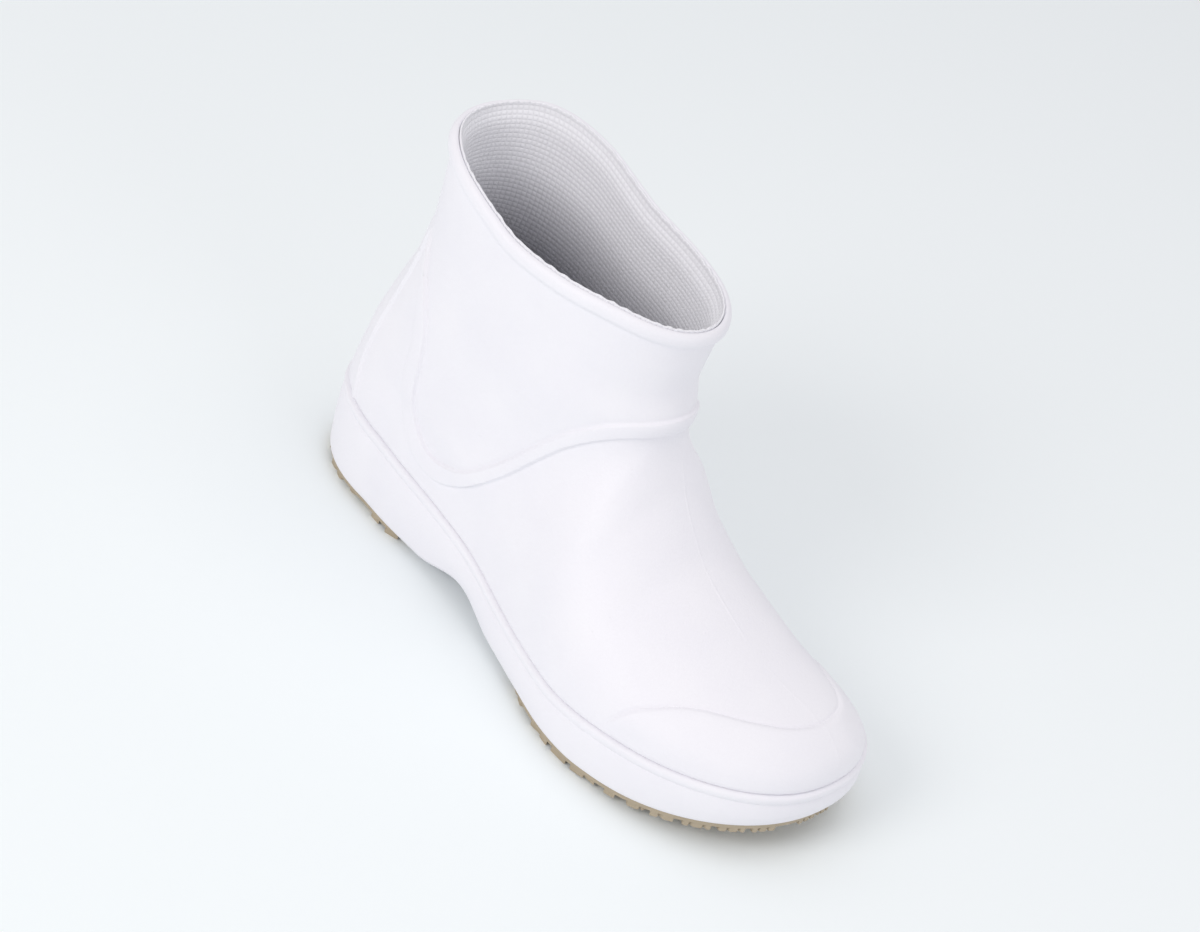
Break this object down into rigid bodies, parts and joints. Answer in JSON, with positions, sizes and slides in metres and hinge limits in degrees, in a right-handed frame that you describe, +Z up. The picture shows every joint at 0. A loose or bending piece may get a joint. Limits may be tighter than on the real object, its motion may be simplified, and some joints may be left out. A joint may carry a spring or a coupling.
{
  "type": "short work boot",
  "caption": "Short slip-on work boot, right foot: foam upper with a scalloped rolled collar and toe cap on a foam sole unit with studded rubber tread pads.",
  "frame": {"origin": "centre of the boot's bounding box in plan, on the floor under the tread", "axes": "+X from the heel to the toe, +Y to the inner side of the foot, +Z up"},
  "size_m": [0.2906, 0.1134, 0.1845],
  "materials": {
    "upper_foam": "moulded foam, fine matte grain",
    "sole_foam": "moulded foam, smooth matte",
    "insole_fabric": "knitted fabric over a thin foam",
    "tread_rubber": "matte moulded rubber"
  },
  "bodies": {
    "root": {"upper": "upper_foam", "midsole": "sole_foam", "insole": "insole_fabric", "outsole_heel": "tread_rubber", "outsole_forefoot": "tread_rubber"}
  },
  "joints": []
}
